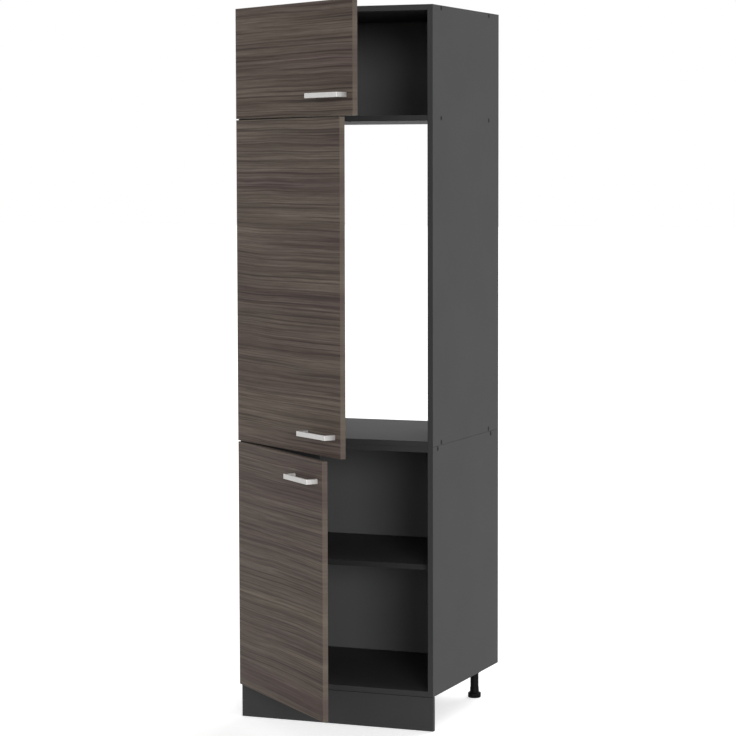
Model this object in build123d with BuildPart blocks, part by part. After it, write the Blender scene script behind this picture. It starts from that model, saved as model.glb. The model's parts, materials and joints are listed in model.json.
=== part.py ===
from build123d import *
import os

# Tall kitchen housing for a built-in fridge: two carcasses on a plinth, with three doors hung on
# the left by concealed cup hinges. Millimetres, X to the right, Y to the back, Z up. The origin is
# on the floor, midway between the sides, in the plane of the carcass front edges.

# Carcass
width = 600
depth = 570
board = 16
plinth_height = 100
lower_height = 720
upper_height = 1250
niche_height = 908
back_board = 3
back_inset = 10
groove_depth = 8
groove_play = 0.1
back_side_play = 0.5

# Loose shelf and its pins. Rows are given by their distances from the front and the back edge
shelf_above_bottom = 361
shelf_setback = 37
shelf_side_play = 1
pin_row_insets = (80, 70)
pin_pitch = 32
pins_each_way = 1
pin_radius = 2.5
pin_depth = 8
pin_reach = 9
pin_hole_spare = 0.5

# Cover caps over the corner screws, pressed flush into both outer sides
cap_radius = 7
cap_thick = 2
cap_sides = 12
upper_screw_insets = (70, 90)
lower_screw_insets = (40, 70)

# Legs and plinth
plinth_board = 16
plinth_gap = 1
leg_side_inset = 55
leg_end_inset = 60
tube_radius = 12.5
tube_solid_end = 14
stem_radius = 7.5
foot_radius = 20
foot_height = 16
foot_chamfer = 4
leg_sides = 12
foot_travel = 12
foot_clearance = 2
socket_plate = 64
socket_thick = 4
socket_wall = 3
socket_depth = 20
clip_height = 20
clip_wall = 2.5
clip_mouth = 16
clip_neck = 15
clip_base_width = 44
clip_base_height = 30
clip_base_thick = 3
clip_middle = 55

# Doors: closed, a door's inner face stands this far in front of the carcass
door_thick = 16
door_gap = 2
door_side_reveal = 1.5
door_joint = 3.5
band = 1
upper_opening = 33.4
middle_opening = 37.5
lower_opening = 43.0
bumper_side = 10
bumper_height = 1.8
bumper_from_end = 30

# Bow handle
handle_length = 160
handle_reach = 35
handle_strip = 14
handle_front = 5
handle_leg = 8
handle_bend = 4
handle_from_free_edge = 28
handle_from_end = 57

# Cup hinges. The plan of the hinge is given from the outer edge of the left side and the front
# plane, with the door closed: two pins on the arm, two in the cup, a cranked outer link and an
# inner link. As the door opens, each link turns by a steady share of the door's angle.
arm_outer_pin = (36.0, 11.6)
arm_inner_pin = (34.4, -8.0)
cup_outer_pin = (10.7, -4.8)
cup_inner_pin = (14.0, -8.0)
outer_link_elbow = (15.2, -9.0)
inner_link_elbow = (18.3, -10.4)
inner_link_eye = (34.54, -7.07)
outer_link_share = 0.259
inner_link_share = 0.27
hinge_pin = 1.25
fit = 0.05
small_sides = 8
eye_wander = 0.95
eye_clearance = 0.2
wide_eye_wall = 1.2
outer_link_half = 2.8
outer_link_width = 4
inner_link_width = 3.5
inner_link_thick = 1.5
cup_eye_wall = 0.95
arm_eye_wall = 1.75
layer_gap = 0.3

# Hinge cups
cup_radius = 17.5
cup_from_edge = 5
cup_wall = 1.2
cup_floor = 1
cup_inner_depth = 11.8
pin_seat = 1.2
flange_thick = 1
flange_lip = 2.5
flange_neck = 14
flange_ear = 10.5
flange_ear_shift = 5
pocket_play = 0.2
upper_hinge_from_end = 80
middle_hinge_from_end = 100
lower_hinge_from_end = 100

# Hinge arms, in the same plan: the web runs along the crown, slopes down and ends over the plate
arm_wall = 1.2
nose_radius = 3.2
shoulder_radius = 3.8
arm_crown = 41
arm_web_start = 16
arm_slope_start = 26
arm_slope_end = 36
arm_tail = 64
arm_tail_height = 14.5
arm_heel = 28

# Mounting plates on the left side
plate_line = 37
plate_wing_width = 12
plate_wing_height = 52
plate_thick = 2.5
plate_block_height = 3.5
plate_block_inset = 2
plate_front = 24
plate_back = 66

# Sizes that follow
half = width / 2
inner = half - board
back_rear = depth - back_inset
back_front = back_rear - back_board
lower_bottom = plinth_height
lower_top = lower_bottom + lower_height
upper_bottom = lower_top
upper_top = upper_bottom + upper_height
niche_floor = upper_bottom + board
niche_ceiling = niche_floor + niche_height
lower_door_top = lower_top - door_joint
upper_door_bottom = niche_ceiling + board / 2 + door_joint / 2
shelf_bottom = lower_bottom + shelf_above_bottom
pin_level = shelf_bottom - pin_radius
door_inner = -door_gap
door_outer = door_inner - door_thick
door_half = half - door_side_reveal
cup_x = -door_half + cup_from_edge + cup_radius


def save(piece, name):
    """Labels one finished piece and writes it."""
    piece.part.label = name
    export_step(piece.part, f"parts/{name}.step")


def facing(hand, x, z):
    """A plane at x that looks right for hand 1 or left for hand -1, with up as its y axis."""
    return Plane(origin=(x, 0, z), x_dir=(0, hand, 0), z_dir=(hand, 0, 0))


def spots(hand, rows, height=0):
    """Points at these depths on a plane made by facing."""
    return [(hand * y, height) for y in rows]


def rows_at(insets):
    """The depths of two rows that lie this far in from the front and from the back edge."""
    return insets[0], depth - insets[1]


def hinge_point(point):
    """A point of the hinge's plan in the unit's own frame."""
    return Vector(point[0] - half, point[1])


def frame_at(angle, drawn, actual):
    """A plan frame turned by angle about Z, in which the point drawn comes out at actual."""
    turned = drawn.rotate(Axis.Z, angle)
    x_dir = Vector(1, 0, 0).rotate(Axis.Z, angle)
    return Plane(origin=actual - turned, x_dir=x_dir, z_dir=(0, 0, 1))


def outer_link_frame(opening):
    """Frame of the outer links when the door stands open by this angle."""
    pin = hinge_point(arm_outer_pin)
    return frame_at(outer_link_share * opening, pin, pin)


def door_frame(opening):
    """Frame of a door: drawn closed, it comes out open by this angle."""
    pin = hinge_point(cup_outer_pin)
    return frame_at(-opening, pin, outer_link_frame(opening).from_local_coords(pin))


def inner_link_frame(opening):
    """Frame of the inner links, which hang on the cup's inner pin."""
    pin = hinge_point(cup_inner_pin)
    return frame_at(inner_link_share * opening, pin, door_frame(opening).from_local_coords(pin))


def door_face(frame, z):
    """The inner face of a door at height z, looking to the back, with down as its y axis."""
    origin = frame.from_local_coords((0, door_inner, z))
    return Plane(origin=origin, x_dir=frame.x_dir, z_dir=frame.y_dir)


def flat_board(x0, x1, y0, y1, z0, z1):
    """A board between two corners."""
    with BuildPart() as piece:
        with BuildSketch(Plane.XY.offset(z0)):
            with Locations(((x0 + x1) / 2, (y0 + y1) / 2)):
                Rectangle(x1 - x0, y1 - y0)
        extrude(amount=z1 - z0)
    return piece


def side_panel(hand, z0, z1, caps, shelf_rows=()):
    """A side with its back groove, its cap recesses and the rows of holes for shelf pins."""
    with BuildPart() as piece:
        with BuildSketch(Plane.XY.offset(z0)):
            with Locations((hand * (half - board / 2), depth / 2)):
                Rectangle(board, depth)
            with Locations((hand * (inner + groove_depth / 2), back_rear - back_board / 2)):
                Rectangle(groove_depth, back_board + 2 * groove_play, mode=Mode.SUBTRACT)
        extrude(amount=z1 - z0)
        for height, rows in caps.items():
            with BuildSketch(facing(hand, hand * half, height)):
                with Locations(*spots(hand, rows)):
                    RegularPolygon(cap_radius + fit, cap_sides)
            extrude(amount=-cap_thick, mode=Mode.SUBTRACT)
        for row in shelf_rows:
            with BuildSketch(facing(-hand, hand * inner, pin_level)):
                for step in range(-pins_each_way, pins_each_way + 1):
                    with Locations(*spots(-hand, (row,), step * pin_pitch)):
                        RegularPolygon(pin_radius + fit, small_sides)
            extrude(amount=-(pin_depth + pin_hole_spare), mode=Mode.SUBTRACT)
    return piece


os.makedirs("parts", exist_ok=True)

# Carcasses, with the caps level with the middle of each board that the sides are screwed to
lower_caps = {lower_top - board / 2: rows_at(lower_screw_insets)}
upper_joints = (upper_bottom, niche_ceiling, upper_top - board)
upper_caps = {bottom + board / 2: rows_at(upper_screw_insets) for bottom in upper_joints}
shelf_rows = rows_at(pin_row_insets)
for hand, side in ((-1, "left"), (1, "right")):
    lower_side = side_panel(hand, lower_bottom, lower_top, lower_caps, shelf_rows)
    upper_side = side_panel(hand, upper_bottom, upper_top, upper_caps)
    save(lower_side, f"lower_{side}_side")
    save(upper_side, f"upper_{side}_side")
cross_boards = {
    "lower_bottom_panel": (lower_bottom, back_front),
    "lower_top_panel": (lower_top - board, back_front),
    "fridge_base_panel": (upper_bottom, depth),
    "intermediate_shelf": (niche_ceiling, back_front),
    "upper_top_panel": (upper_top - board, back_front),
}
for name, (z, back) in cross_boards.items():
    save(flat_board(-inner, inner, 0, back, z, z + board), name)
back_half = inner + groove_depth - back_side_play
for name, z0, z1 in (("lower", lower_bottom, lower_top), ("upper", niche_ceiling, upper_top)):
    save(flat_board(-back_half, back_half, back_front, back_rear, z0, z1), f"{name}_back_panel")

# Loose shelf on four pins
shelf_half = inner - shelf_side_play
shelf_top = shelf_bottom + board
save(
    flat_board(-shelf_half, shelf_half, shelf_setback, back_front, shelf_bottom, shelf_top),
    "lower_shelf",
)
with BuildPart() as shelf_pins:
    for hand in (1, -1):
        with BuildSketch(facing(hand, hand * (inner - pin_reach), pin_level)):
            with Locations(*spots(hand, shelf_rows)):
                RegularPolygon(pin_radius, small_sides)
        extrude(amount=pin_reach + pin_depth)
save(shelf_pins, "shelf_pins")

with BuildPart() as screw_caps:
    for hand in (1, -1):
        for height, rows in (lower_caps | upper_caps).items():
            with BuildSketch(facing(hand, hand * (half - cap_thick), height)):
                with Locations(*spots(hand, rows)):
                    RegularPolygon(cap_radius, cap_sides)
            extrude(amount=cap_thick)
save(screw_caps, "screw_caps")

# Legs: a socket under the bottom panel, a tube, and a foot whose stem moves up and down in it
leg_x = half - leg_side_inset
leg_rows = (leg_end_inset, depth - leg_end_inset)
leg_places = [(hand * leg_x, y) for y in leg_rows for hand in (-1, 1)]
tube_top = lower_bottom - socket_thick
tube_bottom = foot_height + foot_travel + foot_clearance
bore_top = tube_top - tube_solid_end
stem_top = bore_top - foot_travel - foot_clearance
with BuildPart() as leg_sockets:
    with BuildSketch(Plane.XY.offset(tube_top)):
        with Locations(*leg_places):
            Rectangle(socket_plate, socket_plate)
    extrude(amount=socket_thick)
    with BuildSketch(Plane.XY.offset(tube_top)):
        with Locations(*leg_places):
            RegularPolygon(tube_radius + fit + socket_wall, leg_sides)
            Circle(tube_radius + fit, mode=Mode.SUBTRACT)
    extrude(amount=-socket_depth)
save(leg_sockets, "leg_sockets")
with BuildPart() as leg_tubes:
    with BuildSketch(Plane.XY.offset(tube_bottom)):
        with Locations(*leg_places):
            Circle(tube_radius)
    extrude(amount=tube_top - tube_bottom)
    with BuildSketch(Plane.XY.offset(tube_bottom)):
        with Locations(*leg_places):
            RegularPolygon(stem_radius + fit, leg_sides)
    extrude(amount=bore_top - tube_bottom, mode=Mode.SUBTRACT)
save(leg_tubes, "leg_tubes")
foot_names = ("front_left_foot", "front_right_foot", "rear_left_foot", "rear_right_foot")
for place, name in zip(leg_places, foot_names):
    with BuildPart() as foot:
        with BuildSketch(Plane.XY):
            with Locations(place):
                RegularPolygon(foot_radius, leg_sides)
        extrude(amount=foot_height)
        chamfer(foot.edges().group_by(Axis.Z)[-1], length=foot_chamfer)
        with BuildSketch(Plane.XY.offset(foot_height)):
            with Locations(place):
                RegularPolygon(stem_radius, leg_sides)
        extrude(amount=stem_top - foot_height)
    save(foot, name)

# Plinth board and the clips that grip the two front legs
plinth_top = plinth_height - plinth_gap
save(flat_board(-half, half, 0, plinth_board, plinth_gap, plinth_top), "plinth_board")
front_legs = leg_places[:2]
with BuildPart() as plinth_clips:
    with BuildSketch(Plane.XY.offset(clip_middle - clip_height / 2)):
        for x, y in front_legs:
            with Locations((x, y)):
                RegularPolygon(tube_radius + fit + clip_wall, leg_sides)
            with Locations((x, (plinth_board + y) / 2)):
                Rectangle(clip_neck, y - plinth_board)
            with Locations((x, y)):
                Circle(tube_radius + fit, mode=Mode.SUBTRACT)
            with Locations((x, y + tube_radius)):
                Rectangle(clip_mouth, tube_radius, mode=Mode.SUBTRACT)
    extrude(amount=clip_height)
    with BuildSketch(Plane.XY.offset(clip_middle - clip_base_height / 2)):
        for x, y in front_legs:
            with Locations((x, plinth_board + clip_base_thick / 2)):
                Rectangle(clip_base_width, clip_base_thick)
    extrude(amount=clip_base_height)
save(plinth_clips, "plinth_clips")

# The hinge's pieces lie in layers on both sides of its middle
inner_layer = outer_link_half + layer_gap
arm_layer = inner_layer + inner_link_thick + layer_gap
cup_layer = arm_layer + arm_wall + layer_gap
cup_pin_end = cup_layer + pin_seat


def hinge_heights(bottom, top, from_end, count):
    """Heights of a door's hinges, evenly spaced between the two at its ends."""
    span = top - bottom - 2 * from_end
    return [bottom + from_end + span * i / (count - 1) for i in range(count)]


def bore(radius):
    """A hole in which a pin of this radius turns with a running fit."""
    RegularPolygon(radius + fit, small_sides, major_radius=False, mode=Mode.SUBTRACT)


def link(ends, elbow, width, eyes, bores):
    """The outline of a cranked link: a bent bar with an eye at each end."""
    with BuildLine() as bar:
        Polyline(ends[0], elbow, ends[1])
    trace(bar.line, line_width=width)
    for end, eye in zip(ends, eyes):
        with Locations(end):
            RegularPolygon(eye, small_sides)
    for end, radius in zip(ends, bores):
        with Locations(end):
            bore(radius)


def pins(frame, places, heights, near, far):
    """Hinge pins at the places, from near to far of each hinge's middle, both ways."""
    with BuildPart() as piece:
        for z in heights:
            for way in (1, -1):
                with BuildSketch(frame.offset(z + way * near)):
                    with Locations(*places):
                        RegularPolygon(hinge_pin, small_sides)
                extrude(amount=way * (far - near))
    return piece


def outer_links(frame, heights):
    """Cranked links from the arm's outer pin, round the cup's mouth, to the cup's outer pin."""
    ends = hinge_point(arm_outer_pin), hinge_point(cup_outer_pin)
    elbow = hinge_point(outer_link_elbow)
    eyes = hinge_pin + arm_eye_wall, hinge_pin + cup_eye_wall
    with BuildPart() as piece:
        for z in heights:
            with BuildSketch(frame.offset(z - outer_link_half)):
                link(ends, elbow, outer_link_width, eyes, (hinge_pin, hinge_pin))
            extrude(amount=2 * outer_link_half)
    return piece


def inner_links(frame, heights):
    """Pairs of plates from the cup's inner pin, with a wide eye round the arm's inner pin."""
    ends = hinge_point(inner_link_eye), hinge_point(cup_inner_pin)
    elbow = hinge_point(inner_link_elbow)
    wide = hinge_pin + eye_wander + eye_clearance
    eyes = wide + wide_eye_wall, hinge_pin + cup_eye_wall
    with BuildPart() as piece:
        for z in heights:
            for way in (1, -1):
                with BuildSketch(frame.offset(z + way * inner_layer)):
                    link(ends, elbow, inner_link_width, eyes, (wide, hinge_pin))
                extrude(amount=way * inner_link_thick)
    return piece


def hinge_cups(frame, heights):
    """Die-cast cups: a round body with a flange, and a well whose two sides hold the pins."""
    with BuildPart() as piece:
        for z in heights:
            face = door_face(frame, z)
            with BuildSketch(face):
                with Locations((cup_x, 0)):
                    Rectangle(2 * (cup_radius + flange_lip), 2 * cup_radius)
                with Locations((cup_x + flange_ear_shift, 0)):
                    Rectangle(flange_neck, 2 * (cup_radius + flange_ear))
            extrude(amount=flange_thick)
            with BuildSketch(face):
                with Locations((cup_x, 0)):
                    Circle(cup_radius)
            extrude(amount=-(cup_inner_depth + cup_floor - flange_thick))
            with BuildSketch(face.offset(flange_thick)):
                with Locations((cup_x, 0)):
                    Circle(cup_radius - cup_wall)
                    Rectangle(2 * cup_radius, 2 * cup_layer, mode=Mode.INTERSECT)
            extrude(amount=-cup_inner_depth, mode=Mode.SUBTRACT)
            for way in (1, -1):
                with BuildSketch(frame.offset(z + way * cup_layer)):
                    with Locations(hinge_point(cup_outer_pin), hinge_point(cup_inner_pin)):
                        RegularPolygon(hinge_pin + fit, small_sides, major_radius=False)
                extrude(amount=way * pin_seat, mode=Mode.SUBTRACT)
    return piece


def hinge_arms(heights):
    """Folded arms: a web and two flanges that reach forward past the front edge to the pins."""
    low = board + plate_thick
    tail = low + arm_tail_height
    pins_at = hinge_point(arm_outer_pin), hinge_point(arm_inner_pin)
    web = [
        (arm_crown, arm_web_start),
        (arm_crown, arm_slope_start),
        (tail, arm_slope_end),
        (tail, arm_tail),
    ]
    shoulder_out = (arm_outer_pin[0] + shoulder_radius, arm_outer_pin[1])
    shoulder_in = (arm_outer_pin[0] - shoulder_radius, arm_outer_pin[1])
    flange = [shoulder_out, *web, (low, arm_tail), (low, arm_heel), shoulder_in]
    with BuildPart() as piece:
        for z in heights:
            for way in (1, -1):
                with BuildSketch(Plane.XY.offset(z + way * arm_layer)):
                    with Locations(pins_at[0]):
                        RegularPolygon(shoulder_radius, small_sides)
                    with Locations(pins_at[1]):
                        RegularPolygon(nose_radius, small_sides)
                    make_hull()
                    with BuildLine():
                        Polyline(*[hinge_point(p) for p in flange], close=True)
                    make_face()
                    with Locations(*pins_at):
                        bore(hinge_pin)
                extrude(amount=way * arm_wall)
            with BuildSketch(Plane.XY.offset(z - arm_layer - arm_wall)):
                with BuildLine():
                    Polyline(*[hinge_point((u - arm_wall / 2, v)) for u, v in web])
                trace(line_width=arm_wall)
            extrude(amount=2 * (arm_layer + arm_wall))
    return piece


def hinge_plates(heights):
    """Cross-shaped mounting plates on the left side, with the block that the arm straddles."""
    middle = (plate_front + plate_back) / 2
    length = plate_back - plate_front
    block_high = 2 * (arm_layer - layer_gap)
    with BuildPart() as piece:
        for z in heights:
            panel = facing(1, -inner, z)
            with BuildSketch(panel):
                with Locations((middle, 0)):
                    Rectangle(length, block_high)
                with Locations((plate_line, 0)):
                    Rectangle(plate_wing_width, plate_wing_height)
            extrude(amount=plate_thick)
            with BuildSketch(panel.offset(plate_thick)):
                with Locations((middle, 0)):
                    Rectangle(length - 2 * plate_block_inset, block_high)
            extrude(amount=plate_block_height)
    return piece


def door_panel(frame, bottom, top, heights):
    """The door's board without its edge band, with a pocket for each cup."""
    pocket = cup_inner_depth + cup_floor - flange_thick + pocket_play
    with BuildPart() as piece:
        with BuildSketch(door_face(frame, (bottom + top) / 2)):
            Rectangle(2 * (door_half - band), top - bottom - 2 * band)
        extrude(amount=-door_thick)
        for z in heights:
            with Locations(door_face(frame, z)):
                with Locations((cup_x, 0)):
                    Hole(cup_radius + pocket_play, depth=pocket)
    return piece


def edge_band(frame, bottom, top):
    """The band round the four edges of a door."""
    with BuildPart() as piece:
        with BuildSketch(door_face(frame, (bottom + top) / 2)):
            Rectangle(2 * door_half, top - bottom)
            Rectangle(2 * (door_half - band), top - bottom - 2 * band, mode=Mode.SUBTRACT)
        extrude(amount=-door_thick)
    return piece


def bow_handle(frame, z):
    """A flat strip bent into a bow, its two legs flat on the door's outer face."""
    right = door_half - handle_from_free_edge
    middle = right - handle_length / 2
    out = door_outer - handle_reach
    gap_length = handle_length - 2 * handle_leg
    gap_depth = handle_reach - handle_front
    with BuildPart() as piece:
        with BuildSketch(frame.offset(z - handle_strip / 2)):
            with Locations((middle, (door_outer + out) / 2)):
                Rectangle(handle_length, handle_reach)
            with Locations((middle, door_outer - gap_depth / 2)):
                Rectangle(gap_length, gap_depth, mode=Mode.SUBTRACT)
        extrude(amount=handle_strip)
        uprights = piece.edges().filter_by(Axis.Z)
        bends = uprights.sort_by(lambda edge: frame.to_local_coords(edge.center()).Y)[:4]
        fillet(bends, handle_bend)
    return piece


def bumpers(frame, bottom, top):
    """Soft pads on the door's inner face, opposite the right side's front edge."""
    with BuildPart() as piece:
        for z in (bottom + bumper_from_end, top - bumper_from_end):
            with BuildSketch(door_face(frame, z)):
                with Locations((half - board / 2, 0)):
                    Rectangle(bumper_side, bumper_side)
            extrude(amount=bumper_height)
    return piece


# Doors: bottom, top, opening at rest, distance of the end hinges from the ends, how many hinges,
# and the height of the handle
middle_door_top = upper_door_bottom - door_joint
upper_handle = upper_door_bottom + handle_from_end
middle_handle = lower_top + handle_from_end
lower_handle = lower_door_top - handle_from_end
doors = {
    "upper": (upper_door_bottom, upper_top, upper_opening, upper_hinge_from_end, 2, upper_handle),
    "middle": (lower_top, middle_door_top, middle_opening, middle_hinge_from_end, 3, middle_handle),
    "lower": (lower_bottom, lower_door_top, lower_opening, lower_hinge_from_end, 2, lower_handle),
}
all_heights = []
for name, (bottom, top, opening, from_end, count, handle_height) in doors.items():
    heights = hinge_heights(bottom, top, from_end, count)
    all_heights += heights
    frame = door_frame(opening)
    save(door_panel(frame, bottom, top, heights), f"{name}_door")
    save(edge_band(frame, bottom, top), f"{name}_edge_band")
    save(bow_handle(frame, handle_height), f"{name}_handle")
    save(bumpers(frame, bottom, top), f"{name}_bumpers")
    save(hinge_cups(frame, heights), f"{name}_hinge_cups")
    with BuildPart() as cup_pins:
        add(pins(frame, [hinge_point(cup_outer_pin)], heights, 0, cup_pin_end).part)
        add(pins(frame, [hinge_point(cup_inner_pin)], heights, inner_layer, cup_pin_end).part)
    save(cup_pins, f"{name}_cup_pins")
    save(outer_links(outer_link_frame(opening), heights), f"{name}_outer_links")
    save(inner_links(inner_link_frame(opening), heights), f"{name}_inner_links")
    save(hinge_arms(heights), f"{name}_hinge_arms")

save(hinge_plates(all_heights), "hinge_plates")
arm_pins_at = [hinge_point(arm_outer_pin), hinge_point(arm_inner_pin)]
save(pins(Plane.XY, arm_pins_at, all_heights, 0, arm_layer + arm_wall), "arm_pins")
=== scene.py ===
"""Visual model of a fridge housing unit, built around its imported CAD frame.

Lengths are in metres. x runs to the right, y to the back and z up. The carcass's front edges lie at y = 0, its flanks
at x = -HALF_WIDTH and x = HALF_WIDTH, and the floor at z = 0.
"""

import json
import math

import bmesh
import bpy
from mathutils import Matrix, Vector


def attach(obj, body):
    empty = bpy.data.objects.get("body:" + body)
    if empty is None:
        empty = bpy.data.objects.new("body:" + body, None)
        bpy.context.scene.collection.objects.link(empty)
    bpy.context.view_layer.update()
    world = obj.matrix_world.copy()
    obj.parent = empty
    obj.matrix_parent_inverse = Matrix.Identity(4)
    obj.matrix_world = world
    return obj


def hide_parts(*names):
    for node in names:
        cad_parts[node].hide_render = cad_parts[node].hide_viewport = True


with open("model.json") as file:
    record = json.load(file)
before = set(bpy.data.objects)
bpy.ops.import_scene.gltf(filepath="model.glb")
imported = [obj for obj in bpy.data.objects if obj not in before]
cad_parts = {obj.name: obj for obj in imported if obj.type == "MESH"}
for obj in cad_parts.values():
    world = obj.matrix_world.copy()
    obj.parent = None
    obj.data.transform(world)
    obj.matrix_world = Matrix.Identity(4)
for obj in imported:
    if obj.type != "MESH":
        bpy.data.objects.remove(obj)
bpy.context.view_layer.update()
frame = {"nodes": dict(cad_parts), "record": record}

X, Y, Z = 0, 1, 2
RIGHTWARD = Vector((1, 0, 0))
UPWARD = Vector((0, 0, 1))

# Sizes and places that the pieces share with the CAD
HALF_WIDTH = 0.3
BOARD = 0.016
CARCASS_JOINT = 0.82  # height at which the upper carcass stands on the lower one
SHELF_FRONT = 0.037  # depth of the lower shelf's front edge
DOORS = {"upper": 33.4, "middle": 37.5, "lower": 43.0}  # degrees that each door is open at rest
DOOR_INNER = -0.002  # depths of a closed door's two faces
DOOR_OUTER = -0.018
HANDLE_HEIGHTS = {"upper": 1.81075, "middle": 0.877, "lower": 0.7595}
BUMPER_PLACE = 0.592  # from the carcass's left edge, with the door closed
BUMPER_HEIGHTS = {
    "upper": (1.78375, 2.04),
    "middle": (0.85, 1.72025),
    "lower": (0.13, 0.7865),
}
CAP_SPOTS = (  # height and depth of each screw cap on a flank
    (0.812, 0.04), (0.812, 0.5), (0.828, 0.07), (0.828, 0.48),
    (1.752, 0.07), (1.752, 0.48), (2.062, 0.07), (2.062, 0.48),
)
FEET = {
    "front_left_foot": (-0.245, 0.06),
    "front_right_foot": (0.245, 0.06),
    "rear_left_foot": (-0.245, 0.51),
    "rear_right_foot": (0.245, 0.51),
}

# Hinges. A pin is given as seen from above with the door closed: from the carcass's left edge, and to the back
ARM_OUTER_PIN = complex(0.0360, 0.0116)
CUP_OUTER_PIN = complex(0.0107, -0.0048)
OUTER_LINK_SHARE = 0.259  # the outer link's part of the door's swing
HINGE_HEIGHTS = {
    "upper": (1.83375, 1.99),
    "middle": (0.92, 1.285125, 1.65025),
    "lower": (0.2, 0.7165),
}
CUP_SCREW_PLACE = 0.029  # from the carcass's left edge, with the door closed
CUP_SCREW_OFFSET = 0.024  # up and down from the hinge's middle
CUP_FLANGE = 0.001
PLATE_SCREW_DEPTH = 0.037
PLATE_SCREW_OFFSET = 0.019
PLATE_THICKNESS = 0.0025
ARM_SCREW_DEPTHS = (0.044, 0.056)
ARM_TOP = 0.033  # from the carcass's left flank


# Materials


BACKGROUND_RAYS = ("Is Camera Ray", "Is Glossy Ray", "Is Transmission Ray")
MIX_FACTOR, MIX_FIRST, MIX_SECOND, MIX_COLOUR = 0, 6, 7, 2  # a Mix node's sockets for colours


def grey(level):
    """A neutral colour."""
    return (level, level, level)


class Tree:
    """The node tree of a material or a world. The values it takes are sockets, numbers or colours."""

    def __init__(self, owner):
        owner.use_nodes = True
        self.nodes = owner.node_tree.nodes
        self.links = owner.node_tree.links

    def feed(self, socket, value):
        """Links a value to a socket, or sets the socket to it."""
        if hasattr(value, "node"):
            self.links.new(value, socket)
        elif isinstance(value, tuple):
            socket.default_value = (*value, 1.0)
        else:
            socket.default_value = value

    def calc(self, operation, *values):
        """One step of arithmetic."""
        node = self.nodes.new("ShaderNodeMath")
        node.operation = operation
        for socket, value in zip(node.inputs, values):
            self.feed(socket, value)
        return node.outputs[0]

    def seen_by(self, rays):
        """1 for these kinds of light path, 0 for all others."""
        path = self.nodes.new("ShaderNodeLightPath")
        seen = path.outputs[rays[0]]
        for ray in rays[1:]:
            seen = self.calc("MAXIMUM", seen, path.outputs[ray])
        return seen


class Finish(Tree):
    """A new node material with its main shader."""

    def __init__(self, name):
        self.material = bpy.data.materials.new(name)
        super().__init__(self.material)
        self.shader = self.nodes["Principled BSDF"]

    def give(self, name, value):
        """Feeds one socket of the main shader."""
        self.feed(self.shader.inputs[name], value)

    def stretched(self, vector, scale):
        """A vector times scale."""
        node = self.nodes.new("ShaderNodeMapping")
        node.inputs["Scale"].default_value = scale
        self.links.new(vector, node.inputs["Vector"])
        return node.outputs["Vector"]

    def place(self, scale=(1, 1, 1)):
        """The object's own coordinates, times scale."""
        return self.stretched(self.nodes.new("ShaderNodeTexCoord").outputs["Object"], scale)

    def normal(self):
        """The direction that the surface looks in."""
        return self.nodes.new("ShaderNodeTexCoord").outputs["Normal"]

    def part(self, vector, axis):
        """One part of a vector."""
        node = self.nodes.new("ShaderNodeSeparateXYZ")
        self.links.new(vector, node.inputs[0])
        return node.outputs[axis]

    def vector(self, *parts):
        """A vector of three parts."""
        node = self.nodes.new("ShaderNodeCombineXYZ")
        for socket, value in zip(node.inputs, parts):
            self.feed(socket, value)
        return node.outputs[0]

    def noise(self, vector, scale, detail, rough):
        """A noise value at these coordinates."""
        node = self.nodes.new("ShaderNodeTexNoise")
        node.inputs["Scale"].default_value = scale
        node.inputs["Detail"].default_value = detail
        node.inputs["Roughness"].default_value = rough
        self.links.new(vector, node.inputs["Vector"])
        return node.outputs["Fac"]

    def ramp(self, value, *stops):
        """A colour for a value, from stops of a place and a colour."""
        node = self.nodes.new("ShaderNodeValToRGB")
        elements = node.color_ramp.elements
        while len(elements) < len(stops):
            elements.new(0.5)
        for element, (place, colour) in zip(elements, stops):
            element.position = place
            element.color = (*colour, 1.0)
        self.links.new(value, node.inputs["Fac"])
        return node.outputs["Color"]

    def tone(self, value, dark, pale, low=0.3, high=0.7):
        """A grey for a value, from dark at low to pale at high."""
        return self.ramp(value, (low, grey(dark)), (high, grey(pale)))

    def mixed(self, factor, first, second, kind="MIX"):
        """Two colours mixed by factor."""
        node = self.nodes.new("ShaderNodeMix")
        node.data_type = "RGBA"
        node.blend_type = kind
        self.feed(node.inputs[MIX_FACTOR], factor)
        self.feed(node.inputs[MIX_FIRST], first)
        self.feed(node.inputs[MIX_SECOND], second)
        return node.outputs[MIX_COLOUR]

    def times(self, first, second, factor=1.0):
        """One colour multiplied by another, as far as factor."""
        return self.mixed(factor, first, second, "MULTIPLY")

    def bump(self, height, strength, distance):
        """Raises the surface by a height value."""
        node = self.nodes.new("ShaderNodeBump")
        node.inputs["Strength"].default_value = strength
        node.inputs["Distance"].default_value = distance
        self.links.new(height, node.inputs["Height"])
        self.give("Normal", node.outputs["Normal"])


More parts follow.
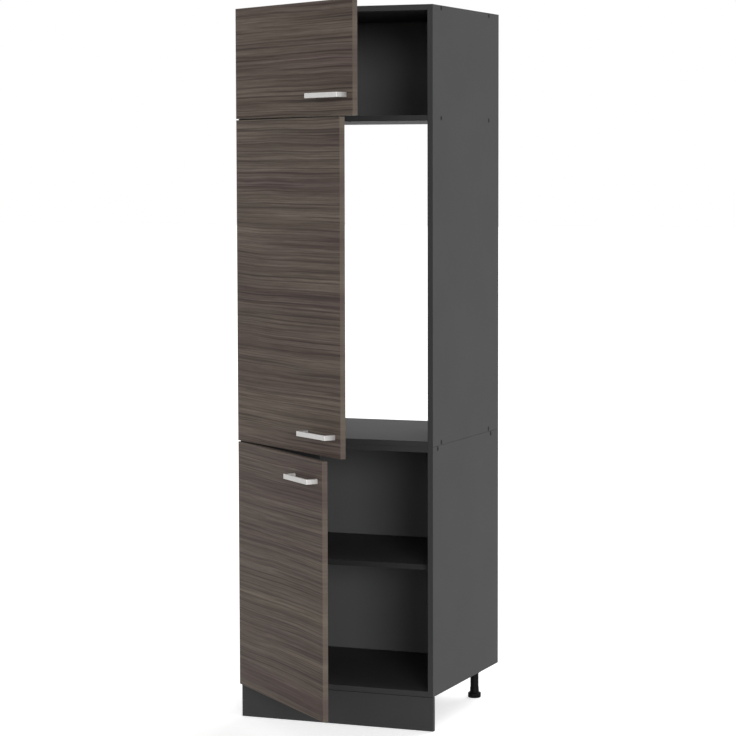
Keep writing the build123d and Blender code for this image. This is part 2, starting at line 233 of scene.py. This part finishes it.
def board_material(name, face_colour, band_and_shade_colour, front=0.0):
    """Matt melamine with a fine pearl structure.

    The front edges lie at the depth front. They have a thin band, darker than the faces partly by its own colour
    and partly as painted shade, with a seam behind it. On the flanks, a dark line lies in the joint of the two
    carcasses: partly the dark edges of its boards, partly painted shade in the gap.
    """
    band, seam, seam_half_width = 0.0009, 0.0011, 0.0002
    # The dark line tone serves both the seam behind the band and the painted shade in the carcasses' joint
    joint_half_width, flank_depth, dark_line_and_shade_tone = 0.0006, 0.001, 0.45
    least_rough, rough_range = 0.54, 0.16
    finish = Finish(name)
    place = finish.place()
    fleck = finish.noise(place, scale=900, detail=3, rough=0.6)
    cloud = finish.noise(place, scale=6, detail=2, rough=0.5)

    depth = finish.part(place, Y)
    in_band = finish.calc("LESS_THAN", depth, front + band)
    in_seam = finish.calc("COMPARE", depth, front + seam, seam_half_width)
    # The joint line on the flanks: partly the boards' dark edges, partly painted shade in the gap between the
    # carcasses
    at_joint = finish.calc("COMPARE", finish.part(place, Z), CARCASS_JOINT, joint_half_width)
    aside = finish.calc("ABSOLUTE", finish.part(place, X))
    on_flank = finish.calc("GREATER_THAN", aside, HALF_WIDTH - flank_depth)
    joint_line_and_shade = finish.calc("MULTIPLY", at_joint, on_flank)

    # The front band's darker colour is partly the band's own colour and partly painted shade on the front edges
    base = finish.mixed(in_band, face_colour, band_and_shade_colour)
    base = finish.mixed(in_seam, base, tuple(part * dark_line_and_shade_tone for part in band_and_shade_colour))
    base = finish.times(base, grey(dark_line_and_shade_tone), joint_line_and_shade)
    base = finish.times(base, finish.tone(fleck, dark=0.86, pale=1.1))
    base = finish.times(base, finish.tone(cloud, dark=0.96, pale=1.04))
    finish.give("Base Color", base)
    finish.give("Specular IOR Level", 0.12)
    finish.give("Roughness", finish.calc("MULTIPLY_ADD", fleck, rough_range, least_rough))
    finish.bump(fleck, strength=0.25, distance=0.00012)
    return finish.material


def back_material():
    """Thin hardboard: lacquered dark inside, bare brown fibre on its rear side."""
    inside_dark, inside_pale = (0.058, 0.058, 0.059), (0.068, 0.068, 0.069)
    fibre_dark, fibre_pale = (0.12, 0.075, 0.042), (0.2, 0.13, 0.078)
    inside_rough, rear_rise = 0.6, 0.2
    finish = Finish("lacquered_hardboard")
    fibre = finish.noise(finish.place((1, 1, 2.6)), scale=420, detail=4, rough=0.65)
    rear = finish.calc("GREATER_THAN", finish.part(finish.normal(), Y), 0.5)
    inside = finish.ramp(fibre, (0.3, inside_dark), (0.7, inside_pale))
    outside = finish.ramp(fibre, (0.28, fibre_dark), (0.72, fibre_pale))
    finish.give("Base Color", finish.mixed(rear, inside, outside))
    finish.give("Specular IOR Level", 0.25)
    finish.give("Roughness", finish.calc("MULTIPLY_ADD", rear, rear_rise, inside_rough))
    finish.bump(fibre, strength=0.2, distance=0.0001)
    return finish.material


WOOD_PURPLE = (0.068, 0.0485, 0.0415)
WOOD_GREEN = (0.092, 0.0735, 0.057)
PLAIN = (1, 1, 1)
# The wood's layers of grain: the scales of their noise along and upward, and the tones that they multiply by
WOOD_LAYERS = {
    "streaks": dict(
        along=0.8, upward=46, detail=2, rough=0.5,
        tones=((0.3, (0.78, 0.74, 0.73)), (0.5, PLAIN), (0.7, (1.28, 1.31, 1.33))),
    ),
    "lines": dict(
        along=0.9, upward=150, detail=1, rough=0.5,
        tones=((0.37, (0.56, 0.5, 0.49)), (0.45, PLAIN), (0.6, PLAIN), (0.71, (1.2, 1.22, 1.24))),
    ),
    "hairs": dict(
        along=1.6, upward=330, detail=1, rough=0.5,
        tones=((0.37, (0.72, 0.68, 0.67)), (0.46, PLAIN), (0.58, PLAIN), (0.7, (1.14, 1.15, 1.16))),
    ),
    "broken_lines": dict(
        along=9, upward=260, detail=2, rough=0.6,
        tones=((0.3, (0.82, 0.8, 0.79)), (0.5, PLAIN), (0.7, (1.14, 1.15, 1.16))),
    ),
    "pores": dict(
        along=30, upward=1500, detail=1, rough=0.5,
        tones=((0.3, (0.88, 0.87, 0.87)), (0.5, PLAIN)),
    ),
}


def wood_material(name, tint, contrast):
    """Dark brown-grey wood decor: broad bands, streaks and fine lines that run level and sway a little."""
    sway_height = 0.03
    least_rough, rough_range = 0.5, 0.2
    finish = Finish(name)
    place = finish.place()
    sway = finish.noise(finish.place((1, 1, 2)), scale=1.5, detail=2, rough=0.5)
    level = finish.calc("MULTIPLY_ADD", sway, sway_height, finish.part(place, Z))
    flow = finish.vector(finish.part(place, X), finish.part(place, Y), level)

    def layer(along, upward, detail, rough):
        return finish.noise(finish.stretched(flow, (along, along, upward)), scale=1.0, detail=detail, rough=rough)

    bands = layer(along=0.3, upward=9, detail=1, rough=0.5)
    purple = tuple(part * share for part, share in zip(WOOD_PURPLE, tint))
    green = tuple(part * share for part, share in zip(WOOD_GREEN, tint))
    base = finish.ramp(bands, (0.36, purple), (0.64, green))
    grain = {}
    for kind, numbers in WOOD_LAYERS.items():
        grain[kind] = layer(numbers["along"], numbers["upward"], numbers["detail"], numbers["rough"])
        stops = [(place, [1 + (part - 1) * contrast for part in tone]) for place, tone in numbers["tones"]]
        base = finish.times(base, finish.ramp(grain[kind], *stops))
    finish.give("Base Color", base)
    finish.give("Specular IOR Level", 0.12)
    finish.give("Roughness", finish.calc("MULTIPLY_ADD", grain["lines"], rough_range, least_rough))
    finish.bump(finish.calc("ADD", grain["lines"], grain["hairs"]), strength=0.35, distance=0.00015)
    return finish.material


def metal_material(name, colour, rough, along, across, wear):
    """Plated or brushed metal, with fine lines along one direction and a little unevenness."""
    line_range, patch_range, least_rough = 0.18, 0.08, rough - 0.12
    finish = Finish(name)
    finish.give("Metallic", 1.0)
    lines = finish.noise(finish.place((along, along, across)), scale=1.0, detail=3, rough=0.6)
    patch = finish.noise(finish.place(), scale=60, detail=2, rough=0.5)
    tone = finish.tone(lines, dark=1 - wear, pale=1.0, low=0.25, high=0.75)
    finish.give("Base Color", finish.times(colour, tone))
    value = finish.calc("MULTIPLY_ADD", lines, line_range, least_rough)
    finish.give("Roughness", finish.calc("MULTIPLY_ADD", patch, patch_range, value))
    finish.bump(lines, strength=0.12, distance=0.00005)
    return finish.material


def plastic_material(name, colour, rough, depth, specular):
    """Moulded plastic with a fine spark-eroded grain of this depth."""
    rough_range = 0.2
    finish = Finish(name)
    finish.give("Specular IOR Level", specular)
    grain = finish.noise(finish.place(), scale=1400, detail=3, rough=0.6)
    finish.give("Base Color", finish.times(colour, finish.tone(grain, dark=0.85, pale=1.12)))
    finish.give("Roughness", finish.calc("MULTIPLY_ADD", grain, rough_range, rough - rough_range / 2))
    finish.bump(grain, strength=0.3, distance=depth)
    return finish.material


def buffer_material():
    """Clear soft plastic of the door buffers, a little cloudy."""
    least_rough, rough_range = 0.25, 0.15
    finish = Finish("soft_buffer")
    finish.give("Transmission Weight", 0.55)
    finish.give("IOR", 1.46)
    cloud = finish.noise(finish.place(), scale=500, detail=2, rough=0.5)
    finish.give("Base Color", finish.tone(cloud, dark=0.62, pale=0.78))
    finish.give("Roughness", finish.calc("MULTIPLY_ADD", cloud, rough_range, least_rough))
    finish.bump(cloud, strength=0.2, distance=0.0001)
    return finish.material


MELAMINE = (0.0475, 0.0475, 0.0484)
# The outer boards' front band: partly its own darker colour, partly painted shade on the front edges
OUTER_BAND_AND_FRONT_SHADE = (0.0287, 0.0287, 0.0294)
# Painted shade: a darker front band for the boards inside the carcass, in the doors' half shadow
INNER_BAND_PAINTED_SHADE = (0.025, 0.025, 0.0257)
# Painted shade: the lower shelf's front band, deep in its compartment, darker still
SHELF_BAND_PAINTED_SHADE = (0.0165, 0.0165, 0.017)
# Painted shade: the plinth's darker grey stands for shade on its front face
PLINTH_FRONT_SHADE = (0.032, 0.032, 0.033)
NO_BAND = -1.0  # a depth in front of the whole unit

# The finish of each material slot in the record
FINISH = {
    "carcass_board": board_material("melamine_board", MELAMINE, OUTER_BAND_AND_FRONT_SHADE),
    "plinth_board": board_material("melamine_plinth_painted_shade", PLINTH_FRONT_SHADE, PLINTH_FRONT_SHADE, front=NO_BAND),
    "back_board": back_material(),
    "door_front": wood_material("wood_decor", tint=(1.0, 1.0, 1.0), contrast=1.12),
    "door_edge": wood_material("wood_edge_band", tint=(1.12, 1.19, 1.2), contrast=0.22),
    "handle_metal": metal_material(
        "satin_nickel", (0.5, 0.49, 0.48), rough=0.58, along=20, across=2200, wear=0.2
    ),
    "hinge_steel": metal_material(
        "nickel_plate", (0.68, 0.68, 0.67), rough=0.3, along=240, across=240, wear=0.12
    ),
    "cup_metal": metal_material(
        "nickel_zinc", (0.62, 0.62, 0.61), rough=0.36, along=320, across=320, wear=0.14
    ),
    "leg_plastic": plastic_material(
        "black_plastic", (0.0035, 0.0035, 0.0038), rough=0.55, depth=0.0001, specular=0.06
    ),
    # The caps' near-black colour is painted shade: it stands for the shade along the edge of a raised cap
    "cap_plastic": plastic_material(
        "cap_plastic", (0.004, 0.004, 0.0044), rough=0.5, depth=0.00008, specular=0.04
    ),
    "bumper_rubber": buffer_material(),
}
# Boards inside the carcass have darker front edges than the outer ones: painted shade of the doors' half shadow,
# deepest on the lower shelf's edge
INNER_SHADED_FINISH = board_material("melamine_inner_painted_shade", MELAMINE, INNER_BAND_PAINTED_SHADE)
BOARD_FINISH = {
    "fridge_base_panel": INNER_SHADED_FINISH,
    "lower_top_panel": INNER_SHADED_FINISH,
    "intermediate_shelf": INNER_SHADED_FINISH,
    # The shelf's front edge is darker as painted shade inside its compartment
    "lower_shelf": board_material("melamine_shelf_painted_shade", MELAMINE, SHELF_BAND_PAINTED_SHADE, front=SHELF_FRONT),
}
SLOTS = {part["node"]: part["material_slot"] for part in frame["record"]["subparts"]}
BODIES = frame["record"]["behaviour"]["bodies"]
BODY_OF = {node: body for body, nodes in BODIES.items() for node in nodes}


# Mesh helpers


def new_object(name, bm):
    """An object in the scene with this bmesh as its mesh."""
    mesh = bpy.data.meshes.new(name)
    bm.to_mesh(mesh)
    bm.free()
    obj = bpy.data.objects.new(name, mesh)
    bpy.context.collection.objects.link(obj)
    return obj


def finish_mesh(name, bm, slot, body, replaced=(), smooth=40, flat_from=3e-5):
    """Turns a bmesh into a piece with its finish, on its body.

    Edges of more than smooth degrees stay sharp, and faces larger than flat_from stay flat.
    """
    bmesh.ops.recalc_face_normals(bm, faces=bm.faces)
    piece = new_object(name, bm)
    mesh = piece.data
    if "custom_normal" in mesh.attributes:
        mesh.attributes.remove(mesh.attributes["custom_normal"])
    mesh.materials.append(FINISH[slot])
    mesh.set_sharp_from_angle(angle=math.radians(smooth))
    for face in mesh.polygons:
        face.use_smooth = face.area < flat_from
    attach(piece, body)
    if replaced:
        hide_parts(*replaced)
    return piece


def copied(node):
    """A CAD node's mesh with its doubled points welded and its flat faces whole."""
    bm = bmesh.new()
    bm.from_mesh(frame["nodes"][node].data)
    bmesh.ops.remove_doubles(bm, verts=bm.verts, dist=1e-6)
    bmesh.ops.dissolve_limit(bm, angle_limit=math.radians(1), verts=bm.verts, edges=bm.edges)
    return bm


def sharp_edges(bm, degrees):
    """The edges whose two faces meet at more than this angle."""
    limit = math.radians(degrees)
    return [edge for edge in bm.edges if len(edge.link_faces) == 2 and edge.calc_face_angle(0) > limit]


def round_over(bm, edges, radius, segments):
    """Rounds these edges over."""
    bmesh.ops.bevel(
        bm, geom=edges, offset=radius, segments=segments, profile=0.5, affect="EDGES", clamp_overlap=True
    )


def softened(node, radius, segments=2, material=None):
    """A copy of a board, door or band whose edges are rounded over, in place of the node."""
    hole_edge = 0.03  # the edges of bores and recesses are shorter, and stay sharp
    bm = copied(node)
    edges = sharp_edges(bm, degrees=50)
    if not node.endswith("edge_band"):
        edges = [edge for edge in edges if edge.calc_length() > hole_edge]
    round_over(bm, edges, radius, segments)
    piece = finish_mesh(node + "_soft", bm, SLOTS[node], BODY_OF[node], (node,), flat_from=0)
    if material:
        piece.data.materials[0] = material


def pressed(node, across, corner=0.0, rim=0.0):
    """A copy of a sheet metal part with rounded corners and rims, in place of the node.

    A corner of its outline is a short outward edge that runs along across, the direction through the sheet.
    """
    longest_corner, least_angle, parallel = 0.0035, math.radians(70), 0.999
    bm = copied(node)
    if corner:
        corners = []
        for edge in bm.edges:
            run = edge.verts[1].co - edge.verts[0].co
            outward = len(edge.link_faces) == 2 and edge.calc_face_angle_signed(0) > least_angle
            if outward and run.length < longest_corner and abs(run.normalized().dot(across)) > parallel:
                corners.append(edge)
        round_over(bm, corners, corner, segments=5)
    if rim:
        round_over(bm, sharp_edges(bm, degrees=55), rim, segments=2)
    finish_mesh(node + "_soft", bm, SLOTS[node], BODY_OF[node], (node,), flat_from=1e-5)


def join_rings(bm, low, high):
    """Adds the faces between two closed rings of points."""
    for i in range(len(low)):
        j = (i + 1) % len(low)
        bm.faces.new((low[i], low[j], high[j], high[i]))


def turned(bm, profile, matrix, segments=32, lobes=0, lobe_depth=0.0):
    """Adds a turned shape: a profile of radius and height pairs about the matrix's z axis.

    Lobes have hollows of lobe_depth between them, where the radius is over lobed_from.
    """
    lobed_from = 0.012
    rings = []
    for radius, height in profile:
        ring = []
        for i in range(segments):
            angle = 2 * math.pi * i / segments
            reach = radius
            if lobes and radius > lobed_from:
                reach -= lobe_depth * (0.5 - 0.5 * math.cos(lobes * angle))
            ring.append(bm.verts.new(matrix @ Vector((reach * math.cos(angle), reach * math.sin(angle), height))))
        rings.append(ring)
    for low, high in zip(rings, rings[1:]):
        join_rings(bm, low, high)
    bm.faces.new(rings[0][::-1])
    bm.faces.new(rings[-1])


def looking(origin, direction):
    """A matrix at origin whose z axis looks along direction and whose y axis leans upward."""
    z = Vector(direction).normalized()
    x = UPWARD.cross(z).normalized()
    y = z.cross(x)
    rotation = Matrix((x, y, z)).transposed().to_4x4()
    return Matrix.Translation(origin) @ rotation


def screw_head(bm, matrix, radius, height):
    """Adds a pan head with a cross recess; the matrix's z axis points out of the head.

    Lengths across the head are shares of its radius, and heights are shares of its height.
    """
    ring_shares = (0.12, 0.25, 0.38, 0.5, 0.62, 0.76, 0.9, 1.0)
    segments, dome_fall, rim_height = 40, 0.45, 0.4
    cross_half_width, cross_reach, cross_depth, cross_rise = 0.17, 0.6, 0.62, 0.9
    angles = [2 * math.pi * (i + 0.5) / segments for i in range(segments)]

    def surface(x, y, share):
        top = height * (1 - dome_fall * share**3) if share < 1.0 else height * rim_height
        if min(abs(x), abs(y)) < cross_half_width and share < cross_reach:
            top -= cross_depth * height * (1 - share * cross_rise)
        return top

    rings = []
    for share in ring_shares:
        points = [(share * math.cos(angle), share * math.sin(angle)) for angle in angles]
        points = [Vector((radius * x, radius * y, surface(x, y, share))) for x, y in points]
        rings.append([bm.verts.new(matrix @ point) for point in points])
    base = [Vector((radius * math.cos(angle), radius * math.sin(angle), 0)) for angle in angles]
    rings.append([bm.verts.new(matrix @ point) for point in base])
    for low, high in zip(rings, rings[1:]):
        join_rings(bm, low, high)
    bm.faces.new(rings[0])
    bm.faces.new(rings[-1][::-1])


def turn(angle):
    """A turn by this angle, seen from above, as a complex number."""
    return complex(math.cos(angle), math.sin(angle))


def door_point(door, u, v, z):
    """A point of a door as it stands at rest.

    It is given as with the door closed: u from the carcass's left edge, v to the back and z up.
    """
    angle = math.radians(DOORS[door])
    pin = ARM_OUTER_PIN + turn(OUTER_LINK_SHARE * angle) * (CUP_OUTER_PIN - ARM_OUTER_PIN)
    spot = pin + turn(-angle) * (complex(u, v) - CUP_OUTER_PIN)
    return Vector((spot.real - HALF_WIDTH, spot.imag, z))


def door_back(door):
    """The direction that a door's inner face looks in at rest."""
    angle = math.radians(DOORS[door])
    return Vector((math.sin(angle), math.cos(angle), 0))


# Boards, doors, edge bands and the hinges' larger parts, with the small roundings of their edges

for node, slot in SLOTS.items():
    if slot in ("carcass_board", "plinth_board", "back_board"):
        softened(node, radius=0.0007, material=BOARD_FINISH.get(node))
for door in DOORS:
    softened(door + "_door", radius=0.0003)
    softened(door + "_edge_band", radius=0.00045, segments=3)
for door in DOORS:
    pressed(door + "_hinge_cups", door_back(door), corner=0.004, rim=0.00018)
    pressed(door + "_hinge_arms", RIGHTWARD, rim=0.0003)
pressed("hinge_plates", RIGHTWARD, corner=0.003)


# Handles


def arc(x, y, radius, start, end, steps=8):
    """Points on an arc about x, y, from one angle to another in degrees."""
    angles = [math.radians(start + (end - start) * i / steps) for i in range(steps + 1)]
    return [(x + radius * math.cos(angle), y + radius * math.sin(angle)) for angle in angles]


def bow_handle(door):
    """The flat bow on a door, with tight bends and eased edges."""
    left, right = 0.4113, 0.5697  # from the carcass's left edge, with the door closed
    out = DOOR_OUTER - 0.0342
    leg, front, half_height = 0.008, 0.005, 0.007
    bend, inner_bend, ease = 0.0014, 0.003, 0.0007
    inner_left, inner_right, inner_out = left + leg, right - leg, out + front
    outline = [
        (left, DOOR_OUTER),
        *arc(left + bend, out + bend, bend, 180, 270),
        *arc(right - bend, out + bend, bend, 270, 360),
        (right, DOOR_OUTER),
        (inner_right, DOOR_OUTER),
        *arc(inner_right - inner_bend, inner_out + inner_bend, inner_bend, 360, 270),
        *arc(inner_left + inner_bend, inner_out + inner_bend, inner_bend, 270, 180),
        (inner_left, DOOR_OUTER),
    ]
    bm = bmesh.new()
    z = HANDLE_HEIGHTS[door]
    low = [bm.verts.new(door_point(door, u, v, z - half_height)) for u, v in outline]
    high = [bm.verts.new(door_point(door, u, v, z + half_height)) for u, v in outline]
    bm.faces.new(low[::-1])
    bm.faces.new(high)
    join_rings(bm, low, high)
    bmesh.ops.recalc_face_normals(bm, faces=bm.faces)
    round_over(bm, sharp_edges(bm, degrees=50), ease, segments=3)
    finish_mesh(door + "_bow_handle", bm, "handle_metal", door + "_door_leaf", (door + "_handle",))


for door in DOORS:
    bow_handle(door)


# Screw caps: shallow discs with an eased rim, pressed into the flanks, whose near-black colour is painted shade

CAP_PROFILE = ((0.0069, -0.0019), (0.0069, -0.0006), (0.0065, -0.0001), (0.005, 0.0), (0.002, 0.0))
bm = bmesh.new()
for hand in (-1, 1):
    for z, y in CAP_SPOTS:
        spot = Vector((hand * HALF_WIDTH, y, z))
        turned(bm, CAP_PROFILE, looking(spot, (hand, 0, 0)), segments=40)
finish_mesh("round_screw_caps", bm, "cap_plastic", "carcass", ("screw_caps",))


# Levelling feet: a lobed grip ring on a round sole, a threaded stem, and a collar up over the leg's tube

SOLE_PROFILE = (
    (0.018, 0.0), (0.0192, 0.0008), (0.02, 0.003), (0.02, 0.0125),
    (0.0193, 0.015), (0.0178, 0.016), (0.008, 0.016),
)
COLLAR_PROFILE = (
    (0.0144, 0.0155), (0.0142, 0.0175), (0.0136, 0.0195), (0.0134, 0.0309),
    (0.0132, 0.0313), (0.0129, 0.0313), (0.0129, 0.0165),
)
THREAD_FROM, THREAD_TO, THREAD_PITCH = 0.016, 0.066, 0.0025
THREAD_ROOT, THREAD_CREST, THREAD_STEP = 0.0068, 0.0073, 0.0006


def thread_profile():
    """The stem's profile, with a rib for each turn of its thread."""
    profile = []
    height = THREAD_FROM
    while height < THREAD_TO:
        for step, radius in enumerate((THREAD_ROOT, THREAD_CREST, THREAD_CREST, THREAD_ROOT)):
            profile.append((radius, height + step * THREAD_STEP))
        height += THREAD_PITCH
    return profile


for name, (x, y) in FEET.items():
    bm = bmesh.new()
    foot = Matrix.Translation((x, y, 0))
    turned(bm, SOLE_PROFILE, foot, segments=96, lobes=12, lobe_depth=0.0011)
    turned(bm, thread_profile(), foot, segments=32)
    turned(bm, COLLAR_PROFILE, foot, segments=48)
    finish_mesh(name + "_lobed", bm, "leg_plastic", name + "_body", (name,))


# Door buffers: small domes on the doors' inner faces

DOME_RADIUS, DOME_BASE, DOME_RISE = 0.0048, 0.0003, 0.0014
DOME_ANGLES = (0.3, 0.6, 0.9, 1.2, 1.45)
DOME_PROFILE = [(DOME_RADIUS, 0.0), (DOME_RADIUS, DOME_BASE)]
DOME_PROFILE += [(DOME_RADIUS * math.cos(a), DOME_BASE + DOME_RISE * math.sin(a)) for a in DOME_ANGLES]
for door in DOORS:
    bm = bmesh.new()
    for z in BUMPER_HEIGHTS[door]:
        spot = door_point(door, BUMPER_PLACE, DOOR_INNER, z)
        turned(bm, DOME_PROFILE, looking(spot, door_back(door)), segments=32)
    leaf = door + "_door_leaf"
    finish_mesh(door + "_buffers", bm, "bumper_rubber", leaf, (door + "_bumpers",), smooth=60)


# Screws of the hinges: two in each cup's ears, two in each plate's wings, two on each arm

for door in DOORS:
    bm = bmesh.new()
    for z in HINGE_HEIGHTS[door]:
        for offset in (CUP_SCREW_OFFSET, -CUP_SCREW_OFFSET):
            spot = door_point(door, CUP_SCREW_PLACE, DOOR_INNER + CUP_FLANGE, z + offset)
            screw_head(bm, looking(spot, door_back(door)), radius=0.0035, height=0.0016)
    finish_mesh(door + "_cup_screws", bm, "hinge_steel", door + "_door_leaf", smooth=30)
bm = bmesh.new()
plate_face = -HALF_WIDTH + BOARD + PLATE_THICKNESS
arm_face = -HALF_WIDTH + ARM_TOP
for door in DOORS:
    for z in HINGE_HEIGHTS[door]:
        for offset in (PLATE_SCREW_OFFSET, -PLATE_SCREW_OFFSET):
            spot = Vector((plate_face, PLATE_SCREW_DEPTH, z + offset))
            screw_head(bm, looking(spot, RIGHTWARD), radius=0.0038, height=0.0018)
        for y in ARM_SCREW_DEPTHS:
            screw_head(bm, looking(Vector((arm_face, y, z)), RIGHTWARD), radius=0.0034, height=0.0014)
finish_mesh("hinge_side_screws", bm, "hinge_steel", "carcass", smooth=30)


# Finishes of the CAD nodes

for node, piece in frame["nodes"].items():
    piece.data.materials.clear()
    piece.data.materials.append(FINISH[SLOTS[node]])


# Floor, light and camera


def pale_floor():
    """A plain white floor that keeps the object's shadow."""
    size, glow = 60, 0.6
    bm = bmesh.new()
    bm.faces.new([bm.verts.new((x * size, y * size, 0)) for x, y in ((-1, -1), (1, -1), (1, 1), (-1, 1))])
    floor = new_object("floor", bm)
    finish = Finish("pale_floor")
    finish.give("Base Color", grey(0.8))
    finish.give("Roughness", 0.9)
    finish.give("Emission Color", grey(1.0))
    finish.give("Emission Strength", finish.calc("MULTIPLY", finish.seen_by(BACKGROUND_RAYS), glow))
    floor.data.materials.append(finish.material)


def white_world():
    """A white background that lights the object softly."""
    ambient = 0.3
    world = bpy.data.worlds.new("studio")
    bpy.context.scene.world = world
    tree = Tree(world)
    background = tree.nodes["Background"]
    tree.feed(background.inputs["Color"], grey(1.0))
    seen = tree.seen_by(BACKGROUND_RAYS)
    tree.feed(background.inputs["Strength"], tree.calc("MULTIPLY_ADD", seen, 1.0 - ambient, ambient))


def soft_lamp(name, azimuth, elevation, strength, spread):
    """A broad even light from far off.

    It shines from these angles in degrees, to the right of the front and above the level, and spread is its size.
    """
    data = bpy.data.lights.new(name, "SUN")
    data.energy = strength
    data.angle = math.radians(spread)
    lamp = bpy.data.objects.new(name, data)
    bpy.context.collection.objects.link(lamp)
    a, e = math.radians(azimuth), math.radians(elevation)
    towards = Vector((math.sin(a) * math.cos(e), -math.cos(a) * math.cos(e), math.sin(e)))
    lamp.location = 5 * towards
    lamp.rotation_euler = (-towards).to_track_quat("-Z", "Y").to_euler()


def photo_camera():
    """The camera at the photograph's viewing angle."""
    place = (2.8643, -6.8900, 1.6129)
    yaw, pitch, roll = math.radians(21.846), math.radians(4.406), math.radians(-0.145)
    focal_pixels, frame_pixels, sensor = 2601.3, 736, 36
    data = bpy.data.cameras.new("camera")
    data.sensor_width = sensor
    data.lens = sensor * focal_pixels / frame_pixels
    data.clip_end = 200
    camera = bpy.data.objects.new("camera", data)
    bpy.context.collection.objects.link(camera)
    bpy.context.scene.camera = camera
    forward = Vector((-math.sin(yaw) * math.cos(pitch), math.cos(yaw) * math.cos(pitch), -math.sin(pitch)))
    side = Vector((math.cos(yaw), math.sin(yaw), 0))
    above = side.cross(forward)
    right = math.cos(roll) * side + math.sin(roll) * above
    top = math.cos(roll) * above - math.sin(roll) * side
    camera.matrix_world = Matrix.Translation(place) @ Matrix((right, top, -forward)).transposed().to_4x4()


pale_floor()
white_world()
soft_lamp("front_key", azimuth=32, elevation=7, strength=1.95, spread=16)
soft_lamp("front_fill", azimuth=9, elevation=3, strength=0.9, spread=30)
soft_lamp("right_fill", azimuth=85, elevation=22, strength=0.6, spread=40)
soft_lamp("rear_fill", azimuth=165, elevation=45, strength=1.3, spread=40)
soft_lamp("left_fill", azimuth=-70, elevation=15, strength=0.5, spread=40)
photo_camera()

bpy.context.scene.view_settings.view_transform = "Standard"
